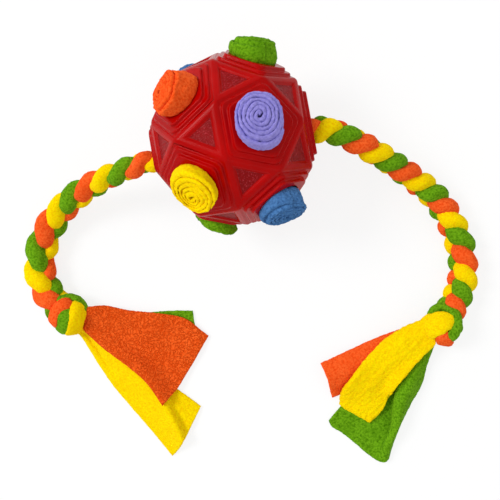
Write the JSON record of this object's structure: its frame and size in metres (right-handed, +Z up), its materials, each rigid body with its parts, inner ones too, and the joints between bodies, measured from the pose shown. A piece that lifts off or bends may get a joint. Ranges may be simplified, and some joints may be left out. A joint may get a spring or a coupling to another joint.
{
  "type": "dog puzzle ball",
  "caption": "Hollow rubber ball with round holes that hold pull-out fleece rolls, on a braided fleece rope with knotted, tasselled ends.",
  "frame": {"origin": "on the table, under the middle of the ball", "axes": "+Z up; +X along the rope's way through the ball; the ends of the rope lie towards -Y"},
  "size_m": [0.2876, 0.2704, 0.1029],
  "materials": {
    "rubber_red": "moulded, glossy, with grained triangles",
    "fleece_purple": "brushed polyester fleece",
    "fleece_yellow": "brushed polyester fleece",
    "fleece_blue": "brushed polyester fleece",
    "fleece_orange": "brushed polyester fleece",
    "fleece_green": "brushed polyester fleece"
  },
  "bodies": {
    "rope": {"rope_core": "fleece_green", "rope_left": "fleece_orange", "rope_right": "fleece_yellow", "knot_left": "fleece_orange", "knot_right": "fleece_green", "tail_left_green": "fleece_green", "tail_left_yellow": "fleece_yellow", "tail_left_orange": "fleece_orange", "tail_right_orange": "fleece_orange", "tail_right_green": "fleece_green", "tail_right_yellow": "fleece_yellow"},
    "ball": {"ball_shell": "rubber_red"},
    "roll_purple_top": {"roll_purple_top": "fleece_purple"},
    "roll_green_back": {"roll_green_back": "fleece_green"},
    "roll_yellow_under": {"roll_yellow_under": "fleece_yellow"},
    "roll_orange_under": {"roll_orange_under": "fleece_orange"},
    "roll_blue_front": {"roll_blue_front": "fleece_blue"},
    "roll_orange_top": {"roll_orange_top": "fleece_orange"},
    "roll_blue_back": {"roll_blue_back": "fleece_blue"},
    "roll_purple_under": {"roll_purple_under": "fleece_purple"},
    "roll_green_front": {"roll_green_front": "fleece_green"},
    "roll_yellow_top": {"roll_yellow_top": "fleece_yellow"}
  },
  "joints": [
    {"name": "ball_spin", "type": "hinge", "parent": "rope", "child": "ball", "pos_m": [0, 0, 0.04924], "axis": [1, 0, 0], "continuous": true},
    {"name": "purple_top_pull", "type": "slide", "parent": "ball", "child": "roll_purple_top", "axis": [0.4472, 0, 0.8944], "range_m": [0, 0.019]},
    {"name": "green_back_pull", "type": "slide", "parent": "ball", "child": "roll_green_back", "axis": [0.4472, 0.8507, 0.2764], "range_m": [0, 0.019]},
    {"name": "yellow_under_pull", "type": "slide", "parent": "ball", "child": "roll_yellow_under", "axis": [0.4472, 0.5257, -0.7236], "range_m": [0, 0.019]},
    {"name": "orange_under_pull", "type": "slide", "parent": "ball", "child": "roll_orange_under", "axis": [0.4472, -0.5257, -0.7236], "range_m": [0, 0.019]},
    {"name": "blue_front_pull", "type": "slide", "parent": "ball", "child": "roll_blue_front", "axis": [0.4472, -0.8507, 0.2764], "range_m": [0, 0.019]},
    {"name": "orange_top_pull", "type": "slide", "parent": "ball", "child": "roll_orange_top", "axis": [-0.4472, 0.5257, 0.7236], "range_m": [0, 0.019]},
    {"name": "blue_back_pull", "type": "slide", "parent": "ball", "child": "roll_blue_back", "axis": [-0.4472, 0.8507, -0.2764], "range_m": [0, 0.019]},
    {"name": "purple_under_pull", "type": "slide", "parent": "ball", "child": "roll_purple_under", "axis": [-0.4472, 0, -0.8944], "range_m": [0, 0.019]},
    {"name": "green_front_pull", "type": "slide", "parent": "ball", "child": "roll_green_front", "axis": [-0.4472, -0.8507, -0.2764], "range_m": [0, 0.019]},
    {"name": "yellow_top_pull", "type": "slide", "parent": "ball", "child": "roll_yellow_top", "axis": [-0.4472, -0.5257, 0.7236], "range_m": [0, 0.019]}
  ]
}
